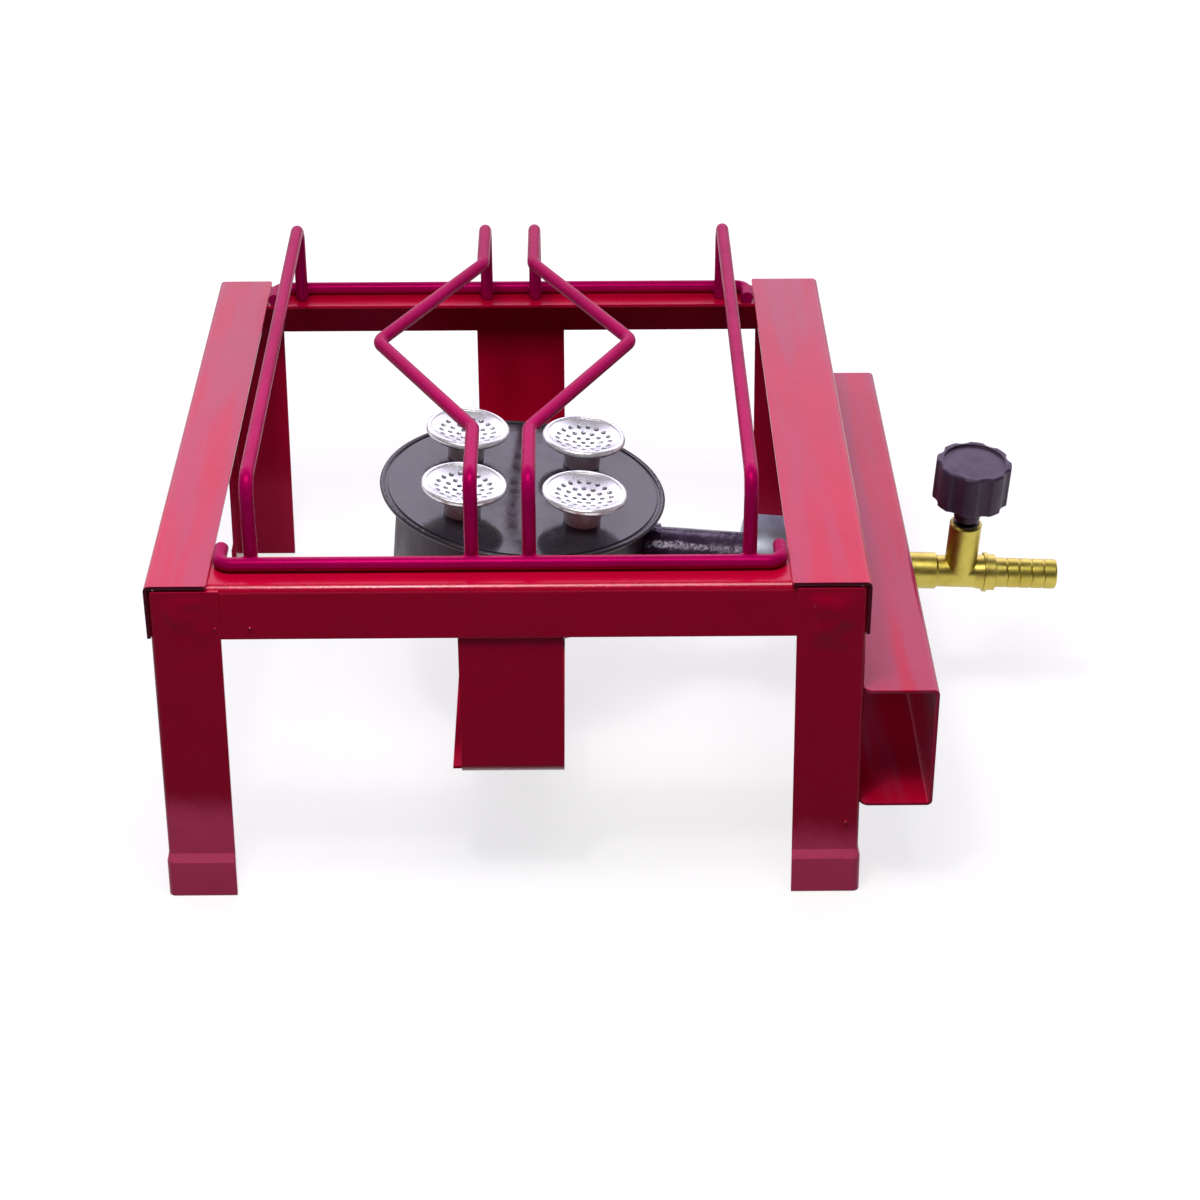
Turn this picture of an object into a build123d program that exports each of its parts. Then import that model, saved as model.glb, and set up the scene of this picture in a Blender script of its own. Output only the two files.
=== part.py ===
# Single burner gas stove: folded sheet frame, loose rod pan support, burner and needle valve.
# Millimetres, +Z up, +X to the valve side, +Y to the back.
# The origin is on the floor under the middle of the frame.

import os
from math import cos, radians, sin, sqrt, tan

from build123d import *

# Frame
frame_width = 300.0
frame_depth = 300.0
frame_height = 157.0
sheet = 1.5
bend_inside = 1.0
rail_drop = 25.0
left_flange = 26.0
right_flange = 33.0
cross_flange = 25.0
cross_bend = 2.0
flange_corner = 1.2
bend_clearance = 0.2

# Legs
leg_flange = 29.0
leg_bend = 0.5
leg_splay = 2.0
foot_height = 22.0
foot_step = 1.0
foot_slope = 4.5

# Burner strap
strap_width = 44.0
strap_offset = 0.5
strap_floor_height = 60.0
strap_bend = 4.0
strap_overhang = 4.0

# Valve guard
guard_reach = 31.0
guard_roof_height = 104.0
guard_floor_height = 45.0
guard_bend = 1.0
guard_corner = 4.0

# Pan support
rod = 6.0
support_side_gap = 0.6
support_shift = 1.5
cross_bar_spacing = 273.0
cross_bar_return = 14.0
cross_bar_bend = 5.5
bar_rise = 36.0
bar_bend = 8.0
bar_foot_gap = 0.5
outer_bar_inset = 13.0
inner_bar_spread = 24.0
diamond_width = 114.0
diamond_length = 169.0
weld_gap = 0.05

# Burner, with heights above the underside of its bowl; it leans down to the valve side
burner_offset = -1.3
burner_lean = 5.0
plate_radius = 66.2
plate_height = 55.8
plate_thickness = 2.0
rim_bead = 1.15
rim_bead_drop = 0.85
rim_groove_width = 1.3
rim_groove_depth = 0.8
bowl_radius = 58.0
bowl_bend = 16.0
spacer_height = 3.5
spacer_radius = 15.0

# Burner necks and caps
cap_spacing = 54.6
cap_radius = 19.5
cap_rise = 15.7
cap_rim_height = 4.4
cap_rim_width = 2.3
cap_rim_lip = 1.9
cap_rim_undercut = 2.5
cap_rim_round = 1.7
cap_rim_inner_round = 0.5
cap_lip_round = 0.7
cap_recess = 1.0
cap_dish_depth = 3.8
cap_wall = 0.8
cap_hole_radius = 1.2
cap_hole_circles = 4
cap_hole_pitch = 4.1
neck_radius = 8.6
neck_height = 7.7
neck_bore = 6.5
neck_spigot = 7.9
neck_spigot_depth = 5.0
slip_gap = 0.05

# Mixing tube and air bell
tube_radius = 12.5
tube_wall = 2.0
tube_height = 25.7
tube_entry = 8.0
tube_in_bell = 9.0
socket_radius = 13.9
socket_reach = 8.0
bell_radius = 21.5
bell_mouth_gap = 1.5
bell_length = 40.0
bell_round = 3.5

# Valve, along its own axis out from the guard's wall; it leans down a little and its branch rolls to the front
valve_lean = 2.3
valve_roll = 4.7
valve_radius = 7.5
collar_radius = 8.6
collar_length = 17.0
collar_chamfer = 0.8
tee_length = 22.0
tee_flare_radius = 8.4
tee_flare_length = 4.5
branch_position = 11.0
branch_height = 28.3
branch_chamfer = 1.0
spigot_radius = 5.8
spigot_length = 17.0
spigot_bore = 3.0
wall_hole_gap = 0.4
passage_radius = 2.2
passage_offset = 3.0
seat_radius = 1.5
seat_height = 0.6
lock_nut_flats = 17.0
lock_nut_height = 5.0

# Gas jet
jet_grip = 6.0
jet_hex_flats = 14.0
jet_hex_length = 10.0
jet_nozzle_radius = 5.0
jet_nozzle_length = 14.0
jet_tip_radius = 2.5
jet_tip_length = 6.0
jet_bore = 2.0
jet_orifice = 0.6
jet_orifice_length = 2.0

# Hose tail
tail_ring_radius = 9.3
tail_ring_length = 1.6
tail_flange_radius = 8.5
tail_flange_length = 5.3
tail_root_radius = 6.6
tail_ridge_radius = 7.0
tail_ridge_pitch = 5.85
tail_ridge_count = 5
tail_end_round = 1.0
tail_bore = 3.5
tail_thread_radius = 5.0
tail_thread_length = 4.5

# Spindle, seal and gland, as heights above the valve's axis
spindle_bore = 4.1
spindle_gap = 0.05
needle_tip_radius = 0.6
needle_radius = 2.4
needle_tip_height = -1.0
needle_cone_length = 3.6
thread_start = 13.3
thread_length = 6.4
groove_width = 1.8
groove_radius = 2.8
retainer_width = 1.0
shank_radius = 3.0
shank_top = 55.0
seal_section = 0.6
gland_radius = 6.2
gland_start = 22.8
gland_length = 6.0

# Knob, as heights above the valve's axis
knob_radius = 17.3
knob_start = 41.8
knob_height = 20.2
knob_lobes = 8
knob_turn = -10.0
knob_flute_radius = 7.0
knob_flute_depth = 1.3
knob_recess_radius = 14.2
knob_recess_depth = 1.0
knob_edge_round = 1.2
hub_radius = 6.1
hub_start = 29.3
hub_round = 2.4

# Burner fixing bolt
bolt_radius = 4.0
bolt_hole_gap = 0.2
bolt_flats = 13.0
bolt_head_height = 5.3
nut_height = 6.5
bolt_tip = 2.0

# Places that follow from the sizes above
side_face = frame_width / 2
end_face = frame_depth / 2
leg_side_face = side_face - sheet
cross_end_face = end_face - sheet
cross_top = frame_height - sheet
strap_face = cross_end_face - sheet
strap_floor_top = strap_floor_height + sheet
left_inner_edge = -side_face + left_flange
right_inner_edge = side_face - right_flange
support_left = left_inner_edge + support_side_gap + rod / 2
support_right = right_inner_edge - support_side_gap - rod / 2
support_middle = (support_left + support_right) / 2
cross_bar_level = cross_top + rod / 2
bar_level = cross_bar_level + bar_rise
rail_bottom = frame_height - rail_drop
bowl_bottom = strap_floor_top + spacer_height
bowl_top = plate_height - plate_thickness
lean_sin = sin(radians(burner_lean))
lean_cos = cos(radians(burner_lean))
guard_wall_x = side_face + guard_reach
tube_shift = burner_offset + tube_height * lean_sin
tube_fall = (guard_wall_x - tube_shift) * tan(radians(burner_lean))
valve_level = bowl_bottom + tube_height * lean_cos - tube_fall
bell_end = (leg_side_face - sheet - bell_mouth_gap - tube_shift) / lean_cos
bell_start = bell_end - bell_length
tube_end = bell_start + tube_in_bell
bolt_seat = (bowl_bottom - strap_floor_height + bolt_flats / sqrt(3) * lean_sin) / lean_cos + slip_gap
burner_place = Pos(burner_offset, 0, bowl_bottom) * Rot(0, burner_lean, 0)
cap_level = plate_height + neck_height
cap_top = plate_height + cap_rise
dish_edge = cap_radius - cap_rim_width
dish_radius = (dish_edge**2 + cap_dish_depth**2) / (2 * cap_dish_depth)
dish_middle = cap_top - cap_recess - cap_dish_depth + dish_radius
valve_place = Pos(guard_wall_x, 0, valve_level) * Rot(0, valve_lean, 0) * Rot(valve_roll, 0, 0)
valve_slope = tan(radians(valve_lean))
tee_start = collar_length
tee_end = tee_start + tee_length
spindle_place = valve_place * Pos(tee_start + branch_position, 0, 0)
tail_start = tee_end + tail_flange_length

LOW = (Align.CENTER, Align.CENTER, Align.MIN)

parts = {}


def upright(radius, bottom, top, x=0.0, y=0.0):
    """A vertical cylinder between two heights."""
    return Pos(x, y, bottom) * Cylinder(radius, top - bottom, align=LOW)


def along_x(radius, start, end, z=0.0):
    """A cylinder lying along X between two places at a height."""
    return Pos(start, 0, z) * Rot(0, 90, 0) * Cylinder(radius, end - start, align=LOW)


def hex_bar(flats, length, radius):
    """A hexagonal bar standing on the origin with a round hole through it."""
    outline = RegularPolygon(flats / 2, 6, major_radius=False) - Circle(radius)
    return extrude(outline, length)


def spin(points):
    """A solid turned about the upright axis from radius and height pairs."""
    outline = make_face(Polyline(*[(r, 0, z) for r, z in points], close=True))
    return revolve(outline, Axis.Z)


def near(shape_list, *point):
    """The member of a list that lies nearest to a point."""
    return shape_list.sort_by_distance(point)[0]


def leg_face(height):
    """How far the legs' outer faces lie from the middle at a height; they touch the rails' lower edges."""
    return leg_side_face + leg_splay * (rail_bottom - height) / rail_bottom


def angle_section(first, second, thickness, bend):
    """An L outline with its outer corner at the origin and a rounded bend."""
    outline = Polyline(
        (0, 0),
        (first, 0),
        (first, thickness),
        (thickness, thickness),
        (thickness, second),
        (0, second),
        close=True,
    )
    face = make_face(outline)
    face = fillet(near(face.vertices(), thickness, thickness, 0), bend)
    return fillet(near(face.vertices(), 0, 0, 0), bend + thickness)


# Left and right rails: the top flange lies over the cross rails
def side_rail(flange):
    place = Plane((-side_face, -end_face, frame_height), x_dir=(1, 0, 0), z_dir=(0, 1, 0))
    rail = extrude(place * angle_section(flange, rail_drop, sheet, bend_inside), frame_depth)
    inner_x = -side_face + flange
    corners = [near(rail.edges(), inner_x, y, frame_height - sheet / 2) for y in (-end_face, end_face)]
    return fillet(corners, flange_corner)


parts["left_rail"] = side_rail(left_flange)
parts["right_rail"] = mirror(side_rail(right_flange), about=Plane.YZ)


# Front and rear rails: they end inside the bends of the legs
def cross_rail():
    half = leg_face(cross_top) - sheet - leg_bend - bend_clearance
    place = Plane((half, -cross_end_face, cross_top), x_dir=(0, 1, 0), z_dir=(-1, 0, 0))
    return extrude(place * angle_section(cross_flange, rail_drop, sheet, cross_bend), 2 * half)


parts["front_rail"] = cross_rail()
parts["rear_rail"] = mirror(cross_rail(), about=Plane.XZ)


# Legs: angles inside the side rails, splayed a little, with a foot that steps out over a short slope
def splayed(section, height):
    """A section pushed up along the slant of the left legs."""
    slant = Vector(leg_face(0) - leg_face(height), 0, height)
    return extrude(Pos(-leg_face(0), -end_face, 0) * section, slant.length, dir=slant.normalized())


def leg_section(step):
    """The section of a leg, grown outward by a step."""
    size = leg_flange + step
    return Pos(-step, -step, 0) * angle_section(size, size, sheet + step, leg_bend)


def leg():
    post = splayed(leg_section(0), cross_top - bend_inside - bend_clearance)
    slope_start = foot_height - foot_slope
    foot = splayed(leg_section(foot_step), slope_start)
    levels = [(slope_start, foot_step), (foot_height, 0)]
    slope = loft([Pos(-leg_face(level), -end_face, level) * leg_section(step) for level, step in levels], ruled=True)
    return post + foot + slope


parts["front_left_leg"] = leg()
parts["front_right_leg"] = mirror(parts["front_left_leg"], about=Plane.YZ)
parts["rear_left_leg"] = mirror(parts["front_left_leg"], about=Plane.XZ)
parts["rear_right_leg"] = mirror(parts["front_right_leg"], about=Plane.XZ)


# Burner strap: a strip bent to a U between the cross rails
bolt_hole = burner_place * upright(bolt_radius + bolt_hole_gap, -bolt_seat, bowl_bend)


def burner_strap():
    top = cross_top - sheet - cross_bend - bend_clearance
    inner = strap_face - sheet
    outline = Polyline(
        (-strap_face, top),
        (-strap_face, strap_floor_height),
        (strap_face, strap_floor_height),
        (strap_face, top),
        (inner, top),
        (inner, strap_floor_top),
        (-inner, strap_floor_top),
        (-inner, top),
        close=True,
    )
    face = make_face(outline)
    for side in (-1, 1):
        face = fillet(near(face.vertices(), side * inner, strap_floor_top, 0), strap_bend)
        outer_corner = near(face.vertices(), side * strap_face, strap_floor_height, 0)
        face = fillet(outer_corner, strap_bend + sheet)
    place = Plane((strap_offset - strap_width / 2, 0, 0), x_dir=(0, 1, 0), z_dir=(1, 0, 0))
    strip = extrude(place * face, strap_width)
    ledge_length = 2 * (strap_face - sheet - strap_bend)
    ledge = Box(strap_overhang, ledge_length, sheet, align=(Align.MAX, Align.CENTER, Align.MIN))
    strip += Pos(strap_offset - strap_width / 2, 0, strap_floor_height) * ledge
    return strip - bolt_hole


parts["burner_strap"] = burner_strap()


# Valve guard: a C section welded by its edges to the right legs
def valve_guard():
    inner_x = guard_wall_x - sheet
    roof = guard_roof_height
    floor = guard_floor_height
    roof_edge = leg_face(roof - sheet)
    floor_edge = leg_face(floor)
    outline = Polyline(
        (roof_edge, roof),
        (guard_wall_x, roof),
        (guard_wall_x, floor),
        (floor_edge, floor),
        (floor_edge, floor + sheet),
        (inner_x, floor + sheet),
        (inner_x, roof - sheet),
        (roof_edge, roof - sheet),
        close=True,
    )
    face = make_face(outline)
    for inner_z, outer_z in ((roof - sheet, roof), (floor + sheet, floor)):
        face = fillet(near(face.vertices(), inner_x, inner_z, 0), guard_bend)
        face = fillet(near(face.vertices(), guard_wall_x, outer_z, 0), guard_bend + sheet)
    channel = extrude(Plane.XZ.offset(-end_face) * face, frame_depth)
    corners = []
    for y in (-end_face, end_face):
        corners.append(near(channel.edges(), roof_edge, y, roof - sheet / 2))
        corners.append(near(channel.edges(), floor_edge, y, floor + sheet / 2))
    channel = fillet(corners, guard_corner)
    return channel - valve_place * along_x(spigot_radius + wall_hole_gap, -2 * sheet, sheet)


parts["valve_guard"] = valve_guard()


# Pan support: cross bars that lie on the rails, and raised bars between them, all of round rod
def rod_along(path):
    section = Plane(path @ 0, z_dir=path % 0) * Circle(rod / 2)
    return sweep(section, path)


def cross_bar(side):
    """The front or rear bar, with both ends turned in along the side rails."""
    y = support_shift + side * cross_bar_spacing / 2
    end_y = y - side * cross_bar_return
    plan = [(support_left, end_y), (support_left, y), (support_right, y), (support_right, end_y)]
    points = [(x, place, cross_bar_level) for x, place in plan]
    return rod_along(FilletPolyline(*points, radius=cross_bar_bend))


def pan_bar(plan):
    """A bar that stands on the rails inside the cross bars and follows a plan between them."""
    foot = cross_top + bar_foot_gap
    front = plan[0]
    rear = plan[-1]
    points = [(front[0], front[1], foot)]
    points += [(x, y, bar_level) for x, y in plan]
    points += [(rear[0], rear[1], foot)]
    return rod_along(FilletPolyline(*points, radius=bar_bend))


bar_reach = cross_bar_spacing / 2 - rod - weld_gap
bar_front = support_shift - bar_reach
bar_rear = support_shift + bar_reach
parts["front_cross_bar"] = cross_bar(-1)
parts["rear_cross_bar"] = cross_bar(1)
for side, name in ((-1, "left"), (1, "right")):
    outer_x = support_middle + side * ((support_right - support_left) / 2 - outer_bar_inset)
    parts[name + "_pan_bar"] = pan_bar([(outer_x, bar_front), (outer_x, bar_rear)])
    inner_x = support_middle + side * inner_bar_spread / 2
    diamond_x = support_middle + side * diamond_width / 2
    diamond_plan = [
        (inner_x, bar_front),
        (inner_x, support_shift - diamond_length / 2),
        (diamond_x, support_shift),
        (inner_x, support_shift + diamond_length / 2),
        (inner_x, bar_rear),
    ]
    parts[name + "_diamond_bar"] = pan_bar(diamond_plan)


# Mixing bowl: a pressed cup, held on a wedge spacer over the strap by one bolt
def bowl_body(inset):
    """The bowl's full shape, shrunk by a wall or grown by a negative inset."""
    cup = upright(bowl_radius - inset, inset, bowl_top)
    return fillet(cup.edges().group_by(Axis.Z)[0], bowl_bend - inset)


def mixing_bowl():
    bowl = bowl_body(0) - bowl_body(sheet)
    bowl -= along_x(tube_radius + slip_gap, 0, bowl_radius + tube_entry, tube_height)
    return burner_place * bowl - bolt_hole


def burner_bolt():
    head = extrude(RegularPolygon(bolt_flats / 2, 6, major_radius=False), bolt_head_height)
    shank = upright(bolt_radius, -bolt_seat, sheet + nut_height + bolt_tip)
    return burner_place * (Pos(0, 0, -bolt_seat - bolt_head_height) * head + shank)


def bowl_spacer():
    wedge = burner_place * upright(spacer_radius, -bolt_seat, 0)
    return wedge - Box(frame_width, frame_depth, strap_floor_top, align=LOW) - bolt_hole


parts["mixing_bowl"] = mixing_bowl()
parts["burner_bolt"] = burner_bolt()
parts["burner_nut"] = burner_place * (Pos(0, 0, sheet) * hex_bar(bolt_flats, nut_height, bolt_radius + slip_gap))
parts["bowl_spacer"] = bowl_spacer()


# Burner plate: a lid with a raised rim and a groove inside it
cap_places = {
    "front_left": (-cap_spacing / 2, -cap_spacing / 2),
    "front_right": (cap_spacing / 2, -cap_spacing / 2),
    "rear_left": (-cap_spacing / 2, cap_spacing / 2),
    "rear_right": (cap_spacing / 2, cap_spacing / 2),
}


def burner_plate():
    bead_middle = plate_radius - rim_bead
    plate = upright(bead_middle, bowl_top, plate_height)
    plate += Pos(0, 0, plate_height - rim_bead_drop) * Torus(bead_middle, rim_bead)
    groove_outer = bead_middle - rim_bead
    groove = upright(groove_outer, plate_height - rim_groove_depth, plate_height + rim_bead)
    plate -= groove - upright(groove_outer - rim_groove_width, 0, plate_height + rim_bead)
    for x, y in cap_places.values():
        plate -= upright(neck_spigot + slip_gap, 0, plate_height + rim_bead, x, y)
    return burner_place * plate


parts["burner_plate"] = burner_plate()


# Burner necks: shouldered tubes pushed into the plate
def burner_neck():
    neck = upright(neck_radius, plate_height, cap_level)
    neck += upright(neck_spigot, plate_height - neck_spigot_depth, plate_height)
    return neck - upright(neck_bore, 0, cap_level)


# Burner caps: a cup flaring from the neck, closed by a sunken perforated dish inside a rolled rim
def dish_height(radius):
    """The height of the dish's upper face at a distance from its middle."""
    return dish_middle - sqrt(dish_radius**2 - radius**2)


def burner_cap():
    rim_low = cap_top - cap_rim_height
    dish_rim = cap_top - cap_recess
    shell = spin(
        [
            (0, cap_level),
            (neck_radius, cap_level),
            (cap_radius - cap_rim_undercut, rim_low),
            (cap_radius, rim_low + cap_rim_lip),
            (cap_radius, cap_top),
            (dish_edge, cap_top),
            (dish_edge, dish_rim),
            (0, dish_rim),
        ]
    )
    rounds = [
        (cap_radius, cap_top, cap_rim_round),
        (dish_edge, cap_top, cap_rim_inner_round),
        (cap_radius, rim_low + cap_rim_lip, cap_lip_round),
    ]
    for radius, height, size in rounds:
        rings = shell.edges().filter_by(GeomType.CIRCLE)
        shell = fillet(near(rings, radius, 0, height), size)
    shell -= Pos(0, 0, dish_middle) * Sphere(dish_radius) & upright(dish_edge, cap_level, dish_rim)
    inside = spin(
        [
            (0, cap_level - cap_wall),
            (neck_bore, cap_level - cap_wall),
            (neck_bore, cap_level + cap_wall),
            (dish_edge - cap_wall, rim_low + cap_wall),
            (dish_edge - cap_wall, cap_top),
            (0, cap_top),
        ]
    )
    cap = shell - (inside - Pos(0, 0, dish_middle) * Sphere(dish_radius + cap_wall))
    for circle in range(cap_hole_circles):
        count = max(1, 6 * circle)
        reach = circle * cap_hole_pitch
        for index in range(count):
            turn = radians(360 * index / count)
            hole_bottom = dish_height(reach) - 2 * cap_wall
            cap -= upright(cap_hole_radius, hole_bottom, cap_top, reach * cos(turn), reach * sin(turn))
    return cap


neck = burner_neck()
cap = burner_cap()
for name, (x, y) in cap_places.items():
    parts[name + "_neck"] = burner_place * Pos(x, y, 0) * neck
    parts[name + "_cap"] = burner_place * Pos(x, y, 0) * cap


# Mixing tube, its socket on the bowl and the air bell at its mouth
def mixing_tube():
    tube = along_x(tube_radius, bowl_radius - tube_entry, tube_end, tube_height)
    return burner_place * (tube - along_x(tube_radius - tube_wall, 0, bell_end, tube_height))


def tube_socket():
    socket = along_x(socket_radius, 0, bowl_radius + socket_reach, tube_height) - bowl_body(-weld_gap)
    return burner_place * (socket - along_x(tube_radius + slip_gap, 0, bell_end, tube_height))


def air_bell():
    outer = Cylinder(bell_radius, bell_length, align=LOW)
    outer = fillet(outer.edges().group_by(Axis.Z)[0], bell_round)
    inner = Pos(0, 0, sheet) * Cylinder(bell_radius - sheet, bell_length, align=LOW)
    inner = fillet(inner.edges().group_by(Axis.Z)[0], bell_round - sheet)
    hole = Cylinder(tube_radius + slip_gap, bell_length, align=LOW)
    return burner_place * Pos(bell_start, 0, tube_height) * Rot(0, 90, 0) * (outer - inner - hole)


parts["mixing_tube"] = mixing_tube()
parts["tube_socket"] = tube_socket()
parts["air_bell"] = air_bell()


# Valve body: collar against the guard, cross tee and upright branch
def valve_body():
    collar_start = collar_radius * valve_slope
    branch_x = tee_start + branch_position
    collar = along_x(collar_radius, collar_start, tee_start)
    body = chamfer(collar.edges().group_by(Axis.X)[-1], collar_chamfer)
    body += along_x(valve_radius, tee_start, tee_end)
    flare = Cone(valve_radius, tee_flare_radius, tee_flare_length, align=LOW)
    body += Pos(tee_end - tee_flare_length, 0, 0) * Rot(0, 90, 0) * flare
    branch = upright(valve_radius, 0, branch_height, branch_x)
    body += chamfer(branch.edges().group_by(Axis.Z)[-1], branch_chamfer)
    body += along_x(spigot_radius, -spigot_length, collar_start)
    body -= along_x(spigot_bore, -spigot_length, tee_start)
    body -= along_x(passage_radius, tee_start - passage_radius, branch_x, -passage_offset)
    thread_mouth = tee_end - tail_thread_length
    body -= along_x(passage_radius, branch_x, thread_mouth + slip_gap, passage_offset)
    body -= along_x(tail_thread_radius + slip_gap, thread_mouth, tee_end)
    body -= upright(seat_radius, -passage_offset, branch_height, branch_x)
    body -= upright(spindle_bore, seat_height, branch_height, branch_x)
    body -= upright(gland_radius + slip_gap, gland_start, branch_height, branch_x)
    return valve_place * body


def lock_nut():
    outer_end = -sheet / cos(radians(valve_lean)) - lock_nut_flats / sqrt(3) * valve_slope
    nut = hex_bar(lock_nut_flats, lock_nut_height, spigot_radius + slip_gap)
    return valve_place * Pos(outer_end - lock_nut_height, 0, 0) * Rot(0, 90, 0) * nut


parts["valve_body"] = valve_body()
parts["lock_nut"] = lock_nut()


# Gas jet: a nozzle screwed on the valve's inner end, pointing into the air bell
def gas_jet():
    grip_start = -spigot_length
    grip_end = grip_start + jet_grip
    hex_start = grip_end - jet_hex_length
    nozzle_start = hex_start - jet_nozzle_length
    tip = nozzle_start - jet_tip_length
    jet = Pos(hex_start, 0, 0) * Rot(0, 90, 0) * hex_bar(jet_hex_flats, jet_hex_length, jet_bore)
    jet += along_x(jet_nozzle_radius, nozzle_start, hex_start)
    cone = Cone(jet_tip_radius, jet_nozzle_radius, jet_tip_length, align=LOW)
    jet += Pos(tip, 0, 0) * Rot(0, 90, 0) * cone
    jet -= along_x(jet_orifice, tip, hex_start)
    jet -= along_x(jet_bore, tip + jet_orifice_length, grip_end)
    return valve_place * (jet - along_x(spigot_radius + slip_gap, grip_start, grip_end))


parts["gas_jet"] = gas_jet()


# Hose tail: stepped flange, ridged tail and thread in one turned piece
def hose_tail():
    ridge_rise = tail_ridge_radius - tail_root_radius
    thread_mouth = tee_end - tail_thread_length
    ring_end = tee_end + tail_ring_length
    profile = [
        (0, thread_mouth),
        (tail_thread_radius, thread_mouth),
        (tail_thread_radius, tee_end),
        (tail_ring_radius, tee_end),
        (tail_ring_radius, ring_end),
        (tail_flange_radius, ring_end),
        (tail_flange_radius, tail_start),
        (tail_root_radius, tail_start),
    ]
    for index in range(tail_ridge_count):
        ridge_start = tail_start + index * tail_ridge_pitch
        ridge_end = ridge_start + tail_ridge_pitch
        profile += [(tail_ridge_radius, ridge_start + ridge_rise)]
        profile += [(tail_ridge_radius, ridge_end - 2 * ridge_rise)]
        profile += [(tail_root_radius, ridge_end)]
    tail_end = tail_start + tail_ridge_count * tail_ridge_pitch
    profile += [(0, tail_end)]
    tail = Rot(0, 90, 0) * spin(profile)
    tail = fillet(tail.edges().group_by(Axis.X)[-1], tail_end_round)
    return valve_place * (tail - along_x(tail_bore, thread_mouth, tail_end))


parts["hose_tail"] = hose_tail()


# Spindle with needle, its seal ring and the gland bush
def spindle():
    runner = spindle_bore - spindle_gap
    cone_top = needle_tip_height + needle_cone_length
    groove_start = thread_start + thread_length
    groove_end = groove_start + groove_width
    retainer_end = groove_end + retainer_width
    profile = [
        (0, needle_tip_height),
        (needle_tip_radius, needle_tip_height),
        (needle_radius, cone_top),
        (needle_radius, thread_start),
        (runner, thread_start),
        (runner, groove_start),
        (groove_radius, groove_start),
        (groove_radius, groove_end),
        (runner, groove_end),
        (runner, retainer_end),
        (shank_radius, retainer_end),
        (shank_radius, shank_top),
        (0, shank_top),
    ]
    return spindle_place * spin(profile)


def seal_ring():
    middle = thread_start + thread_length + groove_width / 2
    return spindle_place * Pos(0, 0, middle) * Torus(groove_radius + spindle_gap + seal_section, seal_section)


def gland_bush():
    top = gland_start + gland_length
    bush = upright(gland_radius, gland_start, top) - upright(shank_radius + spindle_gap, gland_start, top)
    return spindle_place * bush


parts["spindle"] = spindle()
parts["seal_ring"] = seal_ring()
parts["gland_bush"] = gland_bush()


# Knob: fluted head with a recessed top and a round hub
def knob():
    head = Cylinder(knob_radius, knob_height, align=LOW)
    flute_place = knob_radius + knob_flute_radius - knob_flute_depth
    for index in range(knob_lobes):
        turn = radians(knob_turn + 360 * (index + 0.5) / knob_lobes)
        flute = Cylinder(knob_flute_radius, knob_height, align=LOW)
        head -= Pos(flute_place * cos(turn), flute_place * sin(turn), 0) * flute
    head = fillet(head.edges().group_by(Axis.Z)[-1], knob_edge_round)
    recess_floor = knob_height - knob_recess_depth
    head -= upright(knob_recess_radius, recess_floor, knob_height)
    hub = Cylinder(hub_radius, knob_start - hub_start, align=LOW)
    hub = fillet(hub.edges().group_by(Axis.Z)[0], hub_round)
    solid = Pos(0, 0, knob_start) * head + Pos(0, 0, hub_start) * hub
    solid -= upright(shank_radius + slip_gap, 0, shank_top + slip_gap)
    return spindle_place * solid


parts["knob"] = knob()

os.makedirs("parts", exist_ok=True)
for name, shape in parts.items():
    export_step(shape, "parts/" + name + ".step")
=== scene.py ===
import random
from math import radians

import bmesh
import bpy
from mathutils import Euler, Matrix, Vector, noise


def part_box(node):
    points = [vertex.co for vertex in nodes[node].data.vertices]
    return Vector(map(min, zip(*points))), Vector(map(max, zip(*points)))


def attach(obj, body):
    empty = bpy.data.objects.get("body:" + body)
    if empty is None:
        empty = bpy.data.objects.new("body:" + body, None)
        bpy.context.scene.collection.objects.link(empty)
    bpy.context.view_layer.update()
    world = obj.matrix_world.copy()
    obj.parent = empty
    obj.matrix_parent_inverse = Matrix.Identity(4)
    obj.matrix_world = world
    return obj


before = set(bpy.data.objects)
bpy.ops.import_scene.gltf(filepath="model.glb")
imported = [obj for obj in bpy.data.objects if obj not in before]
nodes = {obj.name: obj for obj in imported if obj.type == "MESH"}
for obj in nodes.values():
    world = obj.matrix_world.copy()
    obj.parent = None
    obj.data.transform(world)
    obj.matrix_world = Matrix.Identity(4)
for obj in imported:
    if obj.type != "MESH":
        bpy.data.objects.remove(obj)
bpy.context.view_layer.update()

scene = bpy.context.scene


# Shader building helpers
def new_material(name):
    """A material with an empty tree, its principled shader and its output."""
    material = bpy.data.materials.new(name)
    material.use_nodes = True
    tree = material.node_tree
    tree.nodes.clear()
    output = tree.nodes.new("ShaderNodeOutputMaterial")
    shader = tree.nodes.new("ShaderNodeBsdfPrincipled")
    tree.links.new(shader.outputs["BSDF"], output.inputs["Surface"])
    return material, tree, shader


def set_values(node, **values):
    """Sets named inputs; underscores stand for blanks."""
    for key, value in values.items():
        node.inputs[key.replace("_", " ")].default_value = value


def calculate(tree, operation, *terms):
    """The result of a math node; a term is a number or another node's value."""
    node = tree.nodes.new("ShaderNodeMath")
    node.operation = operation
    for socket, term in zip(node.inputs, terms):
        if isinstance(term, (int, float)):
            socket.default_value = term
        else:
            tree.links.new(term, socket)
    return node.outputs[0]


def remap(tree, value, low, high, to_low, to_high):
    """A value moved smoothly from one span to another."""
    node = tree.nodes.new("ShaderNodeMapRange")
    node.interpolation_type = "SMOOTHSTEP"
    for index, number in enumerate((low, high, to_low, to_high)):
        node.inputs[index + 1].default_value = number
    tree.links.new(value, node.inputs[0])
    return node.outputs[0]


def split_axes(tree, vector):
    """The three parts of a vector."""
    node = tree.nodes.new("ShaderNodeSeparateXYZ")
    tree.links.new(vector, node.inputs["Vector"])
    return [node.outputs[axis] for axis in "XYZ"]


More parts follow.
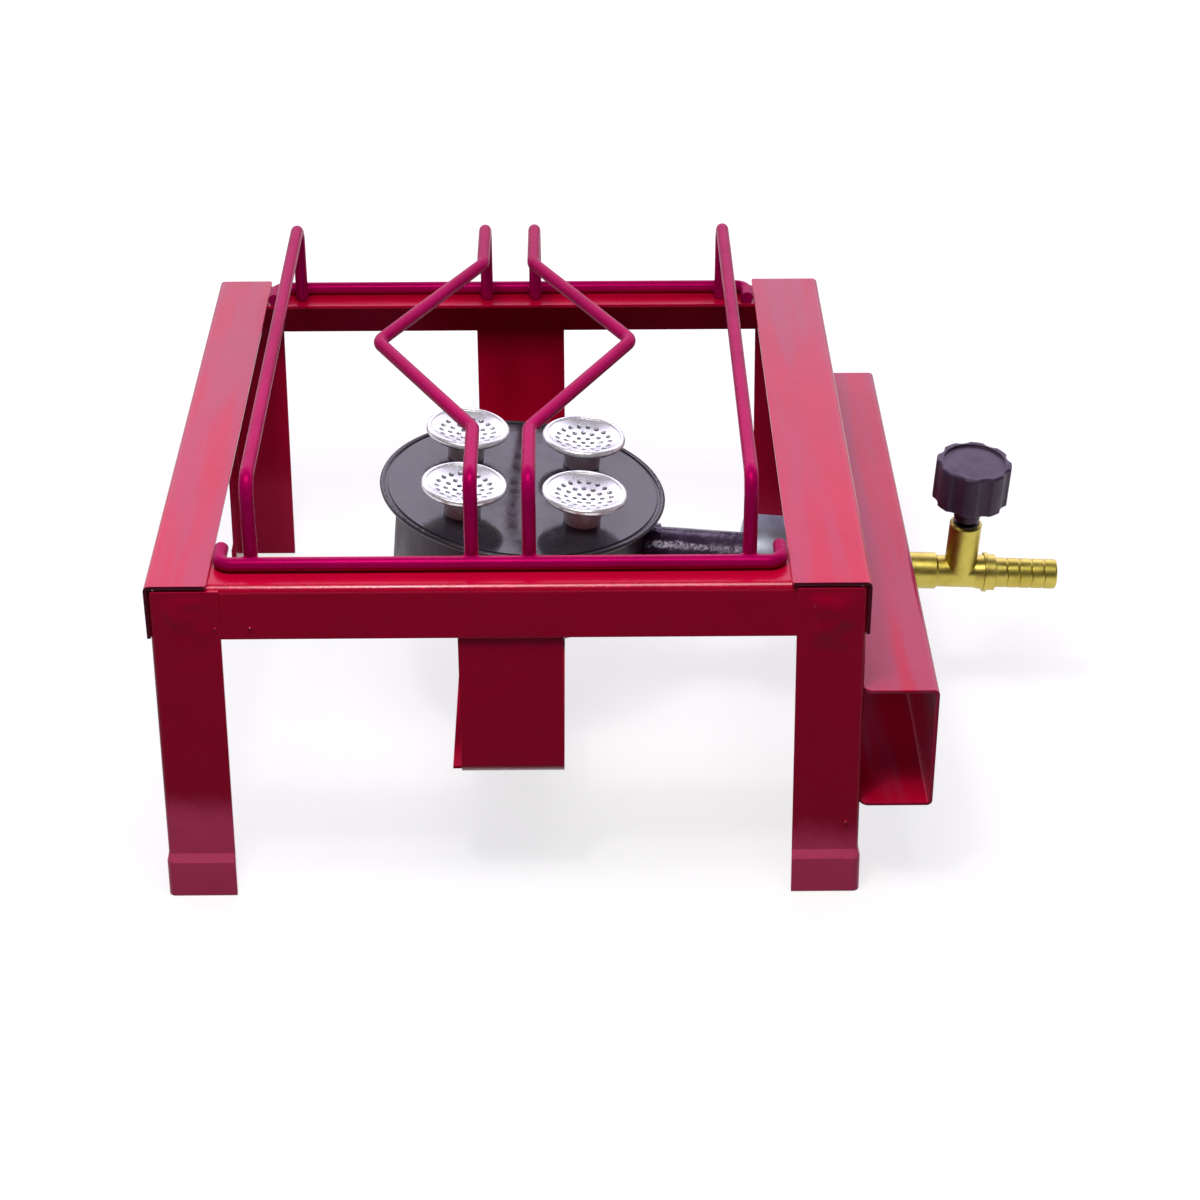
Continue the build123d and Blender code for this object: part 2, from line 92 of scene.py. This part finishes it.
def object_place(tree):
    """The place in the object's own frame."""
    return tree.nodes.new("ShaderNodeTexCoord").outputs["Object"]


def object_noise(tree, scale, detail=3.0, roughness=0.5, stretch=None):
    """A noise in the object's own frame, with an optional stretch along the axes."""
    texture = tree.nodes.new("ShaderNodeTexNoise")
    set_values(texture, Scale=scale, Detail=detail, Roughness=roughness)
    place = object_place(tree)
    if stretch is not None:
        mapping = tree.nodes.new("ShaderNodeMapping")
        set_values(mapping, Scale=stretch)
        tree.links.new(place, mapping.inputs["Vector"])
        place = mapping.outputs["Vector"]
    tree.links.new(place, texture.inputs["Vector"])
    return texture.outputs["Fac"]


def blend_colours(tree, factor, first, second):
    """A mix of two colours, each a tuple or another node's colour."""
    node = tree.nodes.new("ShaderNodeMix")
    node.data_type = "RGBA"
    tree.links.new(factor, node.inputs[0])
    # The colour inputs of this node come after those for numbers and vectors
    for socket, colour in ((node.inputs[6], first), (node.inputs[7], second)):
        if isinstance(colour, tuple):
            socket.default_value = (*colour, 1.0)
        else:
            tree.links.new(colour, socket)
    return node.outputs[2]


def mottled(tree, scale, detail, roughness, colour, shade):
    """A colour with soft patches of another."""
    patches = remap(tree, object_noise(tree, scale, detail, roughness), 0.35, 0.7, 0.0, 1.0)
    return blend_colours(tree, patches, colour, shade)


def uneven_gloss(tree, scale, detail, roughness, span, grain=0.5):
    """A roughness that rises by up to a span in patches."""
    return remap(tree, object_noise(tree, scale, detail, grain), 0.3, 0.75, roughness, roughness + span)


def bump(tree, height, distance, strength, normal):
    """A bump from a height, on top of an earlier normal."""
    node = tree.nodes.new("ShaderNodeBump")
    set_values(node, Distance=distance, Strength=strength)
    tree.links.new(height, node.inputs["Height"])
    tree.links.new(normal, node.inputs["Normal"])
    return node.outputs["Normal"]


def rounded_normal(tree, radius):
    """Normals that look rounded at sharp edges."""
    node = tree.nodes.new("ShaderNodeBevel")
    node.samples = 6
    node.inputs["Radius"].default_value = radius
    return node.outputs["Normal"]


def edge_mask(tree, normal, low, high):
    """One near sharp edges and nought on open faces."""
    geometry = tree.nodes.new("ShaderNodeNewGeometry")
    product = tree.nodes.new("ShaderNodeVectorMath")
    product.operation = "DOT_PRODUCT"
    tree.links.new(geometry.outputs["Normal"], product.inputs[0])
    tree.links.new(normal, product.inputs[1])
    return remap(tree, product.outputs["Value"], high, low, 0.0, 1.0)


def low_mask(tree, low, high, wander, slant):
    """One below a height and nought above another, with an uneven edge that falls to the right."""
    across, _, height = split_axes(tree, object_place(tree))
    slanted = calculate(tree, "MULTIPLY_ADD", across, slant, height)
    uneven = calculate(tree, "MULTIPLY_ADD", object_noise(tree, 60, 5, 0.6), 2 * wander, slanted)
    return remap(tree, uneven, high + wander, low + wander, 0.0, 1.0)


def bend_mask(tree, flat, bent):
    """A value on level and upright faces, and another on the bends between them."""
    geometry = tree.nodes.new("ShaderNodeNewGeometry")
    _, depth, height = split_axes(tree, geometry.outputs["Normal"])
    slope = calculate(tree, "ABSOLUTE", calculate(tree, "MULTIPLY", depth, height))
    return remap(tree, slope, 0.10, 0.40, flat, bent)


def end_mask(tree, reach):
    """One on faces that lie as far as a reach to the front or rear."""
    _, depth, _ = split_axes(tree, object_place(tree))
    return remap(tree, calculate(tree, "ABSOLUTE", depth), reach - 0.0002, reach, 0.0, 1.0)


# Painted light on the paint: paler feet between two heights as painted light from the floor, painted
# reflection bands and painted shade on the end faces
floor_light_pink = (0.98, 0.09, 0.24)
faint_floor_light = (0.62, 0.02, 0.08)
reflection_band_pink = (0.36, 0.05, 0.11)
end_shade_dark = (0.012, 0.002, 0.004)
floor_light_low = 0.028
floor_light_high = 0.048
floor_light_wander = 0.008
floor_light_slant = 0.06


def paint(
    name, colour, shade, edge, specular, tint, roughness, edge_radius,
    metallic=0.0, floor_light=floor_light_pink, bends=False, painted_reflection=None, shaded_end=None,
):
    """Gloss paint with a painted highlight on sharp edges and painted floor light near the floor, with
    optional glossy uneven bends, painted reflection bands and painted shade on the end faces.
    """
    material, tree, shader = new_material(name)
    body = mottled(tree, 34, 4, 0.5, colour, shade)
    if painted_reflection is not None:
        # Long soft greyish-pink bands: a painted reflection of the bars above
        bands = remap(tree, object_noise(tree, 1.0, 2, 0.5, (75, 6, 30)), 0.40, 0.62, 0.0, painted_reflection)
        body = blend_colours(tree, bands, body, reflection_band_pink)
    # The feet pale towards the floor: painted light bounced and reflected from the floor
    floor_light_mask = low_mask(tree, floor_light_low, floor_light_high, floor_light_wander, floor_light_slant)
    body = blend_colours(tree, floor_light_mask, body, floor_light)
    rounded = rounded_normal(tree, edge_radius)
    # Sharp edges get a lighter colour: a painted highlight
    edge_highlight = edge_mask(tree, rounded, 0.9, 0.998)
    body = blend_colours(tree, edge_highlight, body, edge)
    # The end faces of the side rails get a near-black painted shade
    if shaded_end is not None:
        body = blend_colours(tree, end_mask(tree, shaded_end), body, end_shade_dark)
    tree.links.new(body, shader.inputs["Base Color"])
    wavy = bump(tree, object_noise(tree, 1.0, 2, 0.5, (48, 9, 48)), 0.004, 0.10, rounded)
    peel = bump(tree, object_noise(tree, 430, 1), 0.0006, 0.10, wavy)
    if bends:
        tree.links.new(bend_mask(tree, 0.10, 0.75), peel.node.inputs["Strength"])
        tree.links.new(bend_mask(tree, 0.0, 0.9), shader.inputs["Coat Weight"])
        set_values(shader, Coat_Roughness=0.19)
    tree.links.new(peel, shader.inputs["Normal"])
    tree.links.new(uneven_gloss(tree, 90, 5, roughness, 0.06, grain=0.6), shader.inputs["Roughness"])
    set_values(shader, Specular_IOR_Level=specular, Specular_Tint=(*tint, 1.0), Metallic=metallic)
    return material


def enamel(name, colour, shade, specular, tint, roughness, lumps):
    """Dark enamel of the burner, more or less lumpy."""
    material, tree, shader = new_material(name)
    tree.links.new(mottled(tree, 48, 5, 0.6, colour, shade), shader.inputs["Base Color"])
    rounded = rounded_normal(tree, 0.0005)
    uneven = bump(tree, object_noise(tree, 300, 3), 0.0012, lumps, rounded)
    tree.links.new(uneven, shader.inputs["Normal"])
    tree.links.new(uneven_gloss(tree, 75, 4, roughness, 0.14, grain=0.6), shader.inputs["Roughness"])
    set_values(shader, Specular_IOR_Level=specular, Specular_Tint=(*tint, 1.0))
    return material


def metal(name, colour, shade, roughness, stretch, marks, metallic=1.0):
    """Bare metal; a stretched noise gives its turning or drawing marks."""
    material, tree, shader = new_material(name)
    tree.links.new(mottled(tree, 60, 5, 0.6, colour, shade), shader.inputs["Base Color"])
    lines = object_noise(tree, 1.0, 4, 0.6, stretch)
    rounded = rounded_normal(tree, 0.0004)
    tree.links.new(bump(tree, lines, 0.0005, marks, rounded), shader.inputs["Normal"])
    tree.links.new(uneven_gloss(tree, 140, 4, roughness, 0.14, grain=0.6), shader.inputs["Roughness"])
    set_values(shader, Metallic=metallic)
    return material


def moulded(name, colour, shade, specular, tint, roughness):
    """Moulded plastic or rubber with a fine grain."""
    material, tree, shader = new_material(name)
    tree.links.new(mottled(tree, 120, 4, 0.5, colour, shade), shader.inputs["Base Color"])
    rounded = rounded_normal(tree, 0.0008)
    grain = bump(tree, object_noise(tree, 1500, 3), 0.0003, 0.25, rounded)
    tree.links.new(grain, shader.inputs["Normal"])
    tree.links.new(uneven_gloss(tree, 160, 4, roughness, 0.15), shader.inputs["Roughness"])
    set_values(shader, Specular_IOR_Level=specular, Specular_Tint=(*tint, 1.0))
    return material


# Paints of the sheet frame and of the rods; the edge colour of each is a painted highlight on sharp edges
frame_look = {
    "colour": (0.51, 0.001, 0.032), "shade": (0.48, 0.001, 0.029), "edge": (0.66, 0.01, 0.07),
    "specular": 0.32, "tint": (1.0, 0.05, 0.22), "roughness": 0.19, "edge_radius": 0.0006,
}
rail_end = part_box("left_rail")[1][1]
frame_paint = paint("frame_paint", **frame_look, bends=True)
rear_leg_paint = paint("rear_leg_paint", **frame_look, floor_light=faint_floor_light, bends=True)
weld_paint = paint("weld_paint", **frame_look)
rail_paint = paint("rail_paint", **frame_look, painted_reflection=0.5, shaded_end=rail_end)
guard_paint = paint("guard_paint", **frame_look, painted_reflection=0.6)
rod_paint = paint(
    "rod_paint", (0.38, 0.001, 0.084), (0.33, 0.001, 0.070), (0.45, 0.004, 0.11),
    specular=0.05, tint=(0.9, 0.08, 0.45), roughness=0.26, edge_radius=0.0004, metallic=0.14,
)

# Enamels and metals of the burner
plate_enamel = enamel(
    "plate_enamel", (0.026, 0.022, 0.032), (0.034, 0.031, 0.034),
    specular=0.44, tint=(1.0, 0.98, 0.85), roughness=0.07, lumps=0.02,
)
bowl_enamel = enamel(
    "bowl_enamel", (0.050, 0.034, 0.048), (0.070, 0.052, 0.066),
    specular=0.4, tint=(1.0, 0.85, 1.0), roughness=0.34, lumps=0.12,
)
tube_iron = enamel(
    "tube_iron", (0.030, 0.013, 0.036), (0.055, 0.034, 0.062),
    specular=0.60, tint=(0.9, 0.8, 1.0), roughness=0.17, lumps=0.40,
)
neck_metal = metal(
    "neck_metal", (0.90, 0.88, 0.88), (0.76, 0.74, 0.75),
    roughness=0.30, stretch=(90, 90, 1200), marks=0.10, metallic=0.15,
)
cap_steel = metal(
    "cap_steel", (0.95, 0.96, 0.97), (0.86, 0.87, 0.88),
    roughness=0.20, stretch=(300, 300, 300), marks=0.10, metallic=0.65,
)
bell_zinc = metal(
    "bell_zinc", (0.50, 0.55, 0.64), (0.36, 0.40, 0.50),
    roughness=0.36, stretch=(900, 60, 60), marks=0.10, metallic=0.8,
)
bolt_zinc = metal(
    "bolt_zinc", (0.60, 0.60, 0.58), (0.48, 0.48, 0.45),
    roughness=0.32, stretch=(200, 200, 900), marks=0.12,
)

# Metals and plastics of the valve
brass_look = {"colour": (0.60, 0.50, 0.11), "shade": (0.50, 0.40, 0.07), "roughness": 0.32, "marks": 0.14}
brass_x = metal("brass_along_x", **brass_look, stretch=(2600, 40, 40))
brass_z = metal("brass_along_z", **brass_look, stretch=(40, 40, 2600))
gland_dark = metal(
    "gland_dark", (0.10, 0.09, 0.08), (0.06, 0.055, 0.05),
    roughness=0.34, stretch=(40, 40, 900), marks=0.10,
)
knob_plastic = moulded(
    "knob_plastic", (0.036, 0.021, 0.044), (0.046, 0.030, 0.054),
    specular=0.4, tint=(0.95, 0.70, 0.90), roughness=0.34,
)
seal_rubber = moulded(
    "seal_rubber", (0.010, 0.010, 0.010), (0.016, 0.016, 0.016),
    specular=0.3, tint=(1.0, 1.0, 1.0), roughness=0.6,
)

corners = ("front_left", "front_right", "rear_left", "rear_right")
finishes = {
    frame_paint: ["front_rail", "rear_rail", "front_left_leg", "front_right_leg", "burner_strap"],
    rear_leg_paint: ["rear_left_leg", "rear_right_leg"],
    rail_paint: ["left_rail", "right_rail"],
    guard_paint: ["valve_guard"],
    rod_paint: [
        "front_cross_bar", "rear_cross_bar",
        "left_pan_bar", "right_pan_bar", "left_diamond_bar", "right_diamond_bar",
    ],
    plate_enamel: ["burner_plate"],
    bowl_enamel: ["mixing_bowl"],
    tube_iron: ["mixing_tube", "tube_socket"],
    neck_metal: [corner + "_neck" for corner in corners],
    cap_steel: [corner + "_cap" for corner in corners],
    bell_zinc: ["air_bell"],
    bolt_zinc: ["burner_bolt", "burner_nut", "bowl_spacer"],
    brass_x: ["valve_body", "lock_nut", "gas_jet", "hose_tail"],
    brass_z: ["spindle"],
    gland_dark: ["gland_bush"],
    knob_plastic: ["knob"],
    seal_rubber: ["seal_ring"],
}
for material, names in finishes.items():
    for name in names:
        slots = nodes[name].data.materials
        slots.clear()
        slots.append(material)


def finished_piece(name, mesh, body, material):
    """Turns a built mesh into a smooth piece that rides on a body."""
    data = bpy.data.meshes.new(name)
    mesh.to_mesh(data)
    mesh.free()
    data.materials.append(material)
    for polygon in data.polygons:
        polygon.use_smooth = True
    piece = bpy.data.objects.new(name, data)
    scene.collection.objects.link(piece)
    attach(piece, body)


# Weld beads: uneven lumps of filler, built from small squashed balls with a noise on their surface
def weld_bead(name, points, radius, seed, body, material):
    """A run of overlapping uneven lumps at a list of points."""
    maker = random.Random(seed)
    mesh = bmesh.new()
    for point in points:
        size = radius * maker.uniform(0.82, 1.15)
        width = maker.uniform(0.9, 1.2)
        depth = maker.uniform(0.9, 1.2)
        height = maker.uniform(0.75, 1.0)
        place = Matrix.Translation(point) @ Matrix.Diagonal((width, depth, height, 1))
        bmesh.ops.create_icosphere(mesh, subdivisions=3, radius=size, matrix=place)
    for vertex in mesh.verts:
        wobble = noise.noise(vertex.co * 420 + Vector((seed, 0, 0)))
        vertex.co += vertex.normal * wobble * radius * 0.28
    finished_piece(name, mesh, body, material)


# Welds of the pan support, on both sides of each upright end where it meets a cross bar
cross_low, cross_high = (Vector(corner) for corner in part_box("front_cross_bar"))
cross_level = (cross_low.z + cross_high.z) / 2
rod_radius = (cross_high.z - cross_low.z) / 2
bead_radius = 0.0013
bead_spread = 0.85 * rod_radius
bead_lifts = (-0.0005, 0.0009)
# A diamond bar's ends stand at its inner edge: 1 is its right edge, -1 its left one
end_edges = {"left_pan_bar": 0, "right_pan_bar": 0, "left_diamond_bar": 1, "right_diamond_bar": -1}
for index, (bar, edge) in enumerate(end_edges.items()):
    bar_low, bar_high = (Vector(corner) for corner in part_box(bar))
    middle = (bar_low.x + bar_high.x) / 2
    bar_x = {0: middle, 1: bar_high.x - rod_radius, -1: bar_low.x + rod_radius}[edge]
    for end, end_y in (("front", bar_low.y), ("rear", bar_high.y)):
        beads = [
            Vector((bar_x + side * bead_spread, end_y, cross_level + lift))
            for side in (-1, 1) for lift in bead_lifts
        ]
        weld_name = bar + "_" + end + "_weld"
        seed = 10 * index + len(end)
        weld_bead(weld_name, beads, bead_radius, seed, "pan_support", rod_paint)


def eased(value, span):
    """A soft rise from nought to one over a span."""
    share = min(1.0, max(0.0, value / span))
    return share * share * (3 - 2 * share)


# Dressed welds: low uneven ground on the face of each leg where it is welded to the cross rail
dressed_height = 0.032
dressed_margin = 0.0012
dressed_top_gap = 0.0006
dressed_sink = 0.00004
top_band = 0.004
strong_relief = 0.0011
slight_relief = 0.0005


def dressed_weld(name, leg, facing, seed, relief, columns=56, rows=64):
    """A thin wavy skin over the top of a leg's face; its edges lie inside the leg."""
    leg_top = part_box(leg)[1][2]
    band = [vertex.co for vertex in nodes[leg].data.vertices if vertex.co.z > leg_top - top_band]
    face = max(facing * corner.y for corner in band)
    left = min(corner.x for corner in band) + dressed_margin
    right = max(corner.x for corner in band) - dressed_margin
    bottom = leg_top - dressed_height
    top = leg_top - dressed_top_gap
    mesh = bmesh.new()
    lines = []
    for row in range(rows + 1):
        up = row / rows
        line = []
        for column in range(columns + 1):
            across = column / columns
            place = Vector((left + (right - left) * across, 0, bottom + (top - bottom) * up))
            window = eased(across, 0.35) * eased(1 - across, 0.35) * eased(up, 0.5) * eased(1 - up, 0.2)
            wide_wave = noise.noise(place * 80 + Vector((seed, 0, 0)))
            fine_wave = noise.noise(place * 170 + Vector((0, seed, 0)))
            rise = relief * window * (0.7 + wide_wave + 0.4 * fine_wave) - dressed_sink
            place.y = facing * (face + rise)
            line.append(mesh.verts.new(place))
        lines.append(line)
    for lower, upper in zip(lines, lines[1:]):
        for column in range(columns):
            loop = (lower[column], lower[column + 1], upper[column + 1], upper[column])
            mesh.faces.new(loop if facing < 0 else loop[::-1])
    finished_piece(name, mesh, "stove", weld_paint)


for index, corner in enumerate(corners):
    facing = -1 if corner.startswith("front") else 1
    relief = strong_relief if corner == "front_right" else slight_relief
    dressed_weld(corner + "_leg_weld", corner + "_leg", facing, 3.7 * index + 0.9, relief)

# Specks of weld spatter on the front faces of the front rail and of the legs
speck_radius = 0.0007
leg_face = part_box("left_rail")[0][1]
rail_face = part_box("front_rail")[0][1]
specks = (
    (-0.1074, rail_face, 0.1362),
    (-0.1216, leg_face, 0.1366),
    (0.1265, leg_face, 0.1460),
    (0.1440, leg_face, 0.0366),
)
for index, speck in enumerate(specks):
    speck_name = "spatter_" + str(index + 1)
    weld_bead(speck_name, [Vector(speck)], speck_radius, 50 + index, "stove", frame_paint)

# Camera at the photograph's viewing angle: its turn in degrees is a tilt, a slight roll and a slight turn
camera_place = (0.02886, -1.12828, 0.73846)
camera_turn = (58.948, 0.084, -0.573)
camera_data = bpy.data.cameras.new("camera")
camera_data.lens = 83.18
camera_data.sensor_width = 36.0
camera = bpy.data.objects.new("camera", camera_data)
turn = Euler([radians(angle) for angle in camera_turn])
camera.matrix_world = Matrix.LocRotScale(Vector(camera_place), turn, None)
scene.collection.objects.link(camera)
scene.camera = camera

# Floor: near the object it is a little darker than white, so that the soft shadow shows
floor_reach = 60.0
floor_drop = 0.0003
white_from = 0.25
white_to = 0.75
near_white = 0.72


def floor_material():
    """White to the camera and in reflections with a soft shadow, and dark to the light it throws back."""
    material, tree, shader = new_material("floor")
    tree.nodes.remove(shader)
    output = tree.nodes["Material Output"]
    path = tree.nodes.new("ShaderNodeLightPath")
    seen = calculate(tree, "MAXIMUM", path.outputs["Is Camera Ray"], path.outputs["Is Glossy Ray"])
    shown_rays = calculate(tree, "MAXIMUM", seen, path.outputs["Is Transmission Ray"])
    bounce = tree.nodes.new("ShaderNodeBsdfDiffuse")
    set_values(bounce, Color=(0.08, 0.07, 0.08, 1.0))
    shadowed = tree.nodes.new("ShaderNodeBsdfDiffuse")
    set_values(shadowed, Color=(0.36, 0.36, 0.36, 1.0))
    white = tree.nodes.new("ShaderNodeEmission")
    away = tree.nodes.new("ShaderNodeVectorMath")
    away.operation = "LENGTH"
    tree.links.new(object_place(tree), away.inputs[0])
    whiteness = remap(tree, away.outputs["Value"], white_from, white_to, near_white, 1.0)
    tree.links.new(whiteness, white.inputs["Strength"])
    shown = tree.nodes.new("ShaderNodeAddShader")
    tree.links.new(shadowed.outputs["BSDF"], shown.inputs[0])
    tree.links.new(white.outputs["Emission"], shown.inputs[1])
    choice = tree.nodes.new("ShaderNodeMixShader")
    tree.links.new(shown_rays, choice.inputs[0])
    tree.links.new(bounce.outputs["BSDF"], choice.inputs[1])
    tree.links.new(shown.outputs["Shader"], choice.inputs[2])
    tree.links.new(choice.outputs["Shader"], output.inputs["Surface"])
    return material


floor_mesh = bpy.data.meshes.new("floor")
floor_signs = ((-1, -1), (1, -1), (1, 1), (-1, 1))
floor_corners = [(x * floor_reach, y * floor_reach, 0) for x, y in floor_signs]
floor_mesh.from_pydata(floor_corners, [], [(0, 1, 2, 3)])
floor_mesh.materials.append(floor_material())
floor = bpy.data.objects.new("floor", floor_mesh)
floor.location.z = -floor_drop
scene.collection.objects.link(floor)


def soft_lamp(name, place, aim, size, power):
    """A rectangular lamp that points at a place."""
    data = bpy.data.lights.new(name, "AREA")
    data.shape = "RECTANGLE"
    data.size, data.size_y = size
    data.energy = power
    data.color = (1.0, 0.98, 0.98)
    lamp = bpy.data.objects.new(name, data)
    lamp.location = place
    lamp.rotation_euler = (Vector(aim) - Vector(place)).to_track_quat("-Z", "Y").to_euler()
    scene.collection.objects.link(lamp)


# A wide soft lamp and a small one overhead, and a strip over the front edge
soft_lamp("key_lamp", (0.05, -0.44, 1.12), (0, 0, 0.1), (0.6, 0.45), 5.2)
soft_lamp("spark_lamp", (-0.12, -0.46, 1.12), (0, 0, 0.1), (0.10, 0.10), 2.0)
soft_lamp("strip_lamp", (-0.06, -0.17, 0.50), (-0.06, -0.16, 0.1), (0.44, 0.10), 0.50)


def sky_world():
    """A soft sky that is bright behind the object, at a third of the way up, and dim elsewhere."""
    world = bpy.data.worlds.new("sky")
    world.use_nodes = True
    sky = world.node_tree
    sky.nodes.clear()
    output = sky.nodes.new("ShaderNodeOutputWorld")
    background = sky.nodes.new("ShaderNodeBackground")
    background.inputs["Color"].default_value = (0.95, 0.88, 1.16, 1.0)
    sky.links.new(background.outputs["Background"], output.inputs["Surface"])
    direction = sky.nodes.new("ShaderNodeTexCoord")
    _, depth, height = split_axes(sky, direction.outputs["Generated"])
    behind = remap(sky, depth, 0.0, 0.8, 0.03, 1.0)
    rising = remap(sky, height, 0.0, 0.35, 0.25, 1.0)
    falling = remap(sky, height, 0.62, 0.95, 1.0, 0.30)
    band = calculate(sky, "MULTIPLY", rising, falling)
    share = calculate(sky, "MULTIPLY", behind, band)
    sky.links.new(remap(sky, share, 0.0, 1.0, 0.03, 2.3), background.inputs["Strength"])
    return world


scene.world = sky_world()
scene.view_settings.view_transform = "Standard"
